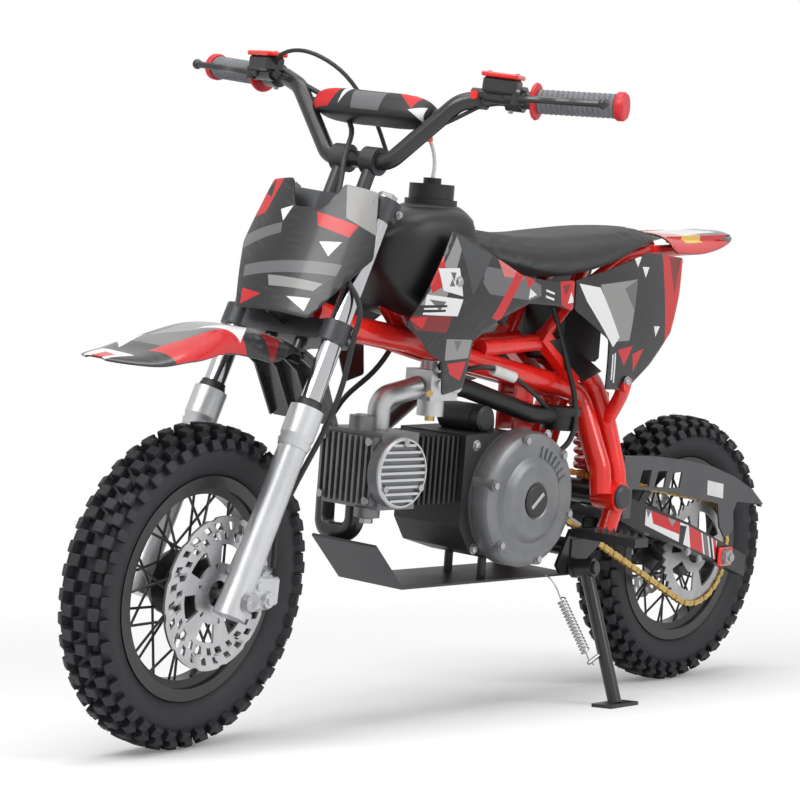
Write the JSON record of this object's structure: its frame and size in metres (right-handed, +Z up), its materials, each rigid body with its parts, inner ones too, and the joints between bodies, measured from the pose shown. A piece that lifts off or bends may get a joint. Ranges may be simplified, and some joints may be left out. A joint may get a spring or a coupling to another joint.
{
  "type": "dirt bike",
  "caption": "Youth dirt bike with tube frame, telescopic fork, horizontal engine, spoked wheels and knobbly tyres, leaning on its side stand.",
  "frame": {"origin": "on the floor, at the middle of the footprint of the parked bike", "axes": "+X forward, +Y to the rider's left, the side that it leans to, +Z up"},
  "size_m": [1.4016, 0.6646, 0.9011],
  "materials": {
    "bare_aluminium": "satin",
    "black_paint": "semi gloss",
    "black_plastic": "gloss",
    "bright_steel": "brushed",
    "chrome": "polished",
    "dark_metal": "satin",
    "engine_black": "satin",
    "engine_grey": "satin",
    "gold_chain": "satin",
    "grip_rubber": "matt",
    "matt_plastic": "matt",
    "pad_cover": "printed",
    "red_paint": "gloss",
    "seat_vinyl": "grained",
    "tyre_rubber": "matt"
  },
  "bodies": {
    "chassis": {"frame_main": "red_paint", "subframe": "red_paint", "footpeg_bracket": "black_paint", "footpegs": "black_paint", "swingarm": "black_paint", "pivot_bolt": "dark_metal", "shock": "red_paint", "rear_axle": "bright_steel", "chain": "gold_chain", "chain_guard": "matt_plastic", "rear_caliper": "bare_aluminium", "crankcase": "engine_black", "magneto_cover": "engine_grey", "clutch_cover": "engine_grey", "cylinder": "engine_black", "cylinder_head": "engine_grey", "carburettor": "bare_aluminium", "air_filter": "matt_plastic", "exhaust": "black_paint", "skid_plate": "dark_metal", "fuel_tank": "matt_plastic", "fuel_cap": "matt_plastic", "seat": "seat_vinyl", "shrouds": "black_plastic", "side_panels": "black_plastic", "rear_fender": "black_plastic"},
    "steering": {"triple_clamps": "dark_metal", "fork_tubes": "chrome", "fork_lowers": "bare_aluminium", "front_axle": "bright_steel", "handlebar": "black_paint", "bar_clamps": "dark_metal", "bar_pad": "pad_cover", "grips": "grip_rubber", "hand_controls": "black_paint", "number_plate": "black_plastic", "front_fender": "black_plastic", "front_caliper": "bare_aluminium"},
    "front_wheel": {"front_tyre": "tyre_rubber", "front_wheel": "black_paint", "front_disc": "bright_steel"},
    "rear_wheel": {"rear_tyre": "tyre_rubber", "rear_wheel": "black_paint", "rear_disc": "bright_steel", "rear_sprocket": "bright_steel"},
    "side_stand": {"side_stand": "black_paint"}
  },
  "joints": [
    {"name": "steering", "type": "hinge", "parent": "chassis", "child": "steering", "pos_m": [0.31606, -0.02356, 0.57558], "axis": [-0.3983, 0.0951, 0.9123], "range_deg": [-42, 28]},
    {"name": "front_wheel_spin", "type": "hinge", "parent": "steering", "child": "front_wheel", "pos_m": [0.50055, -0.06045, 0.1996], "axis": [-0.1103, 0.9824, -0.1505], "continuous": true},
    {"name": "rear_wheel_spin", "type": "hinge", "parent": "chassis", "child": "rear_wheel", "pos_m": [-0.49932, -0.0627, 0.20042], "axis": [-0.0001, 0.9946, -0.1037], "continuous": true},
    {"name": "side_stand_fold", "type": "hinge", "parent": "chassis", "child": "side_stand", "pos_m": [-0.18933, 0.0165, 0.18848], "axis": [-0.1625, 0.9854, 0.0505], "range_deg": [0, 90]}
  ]
}
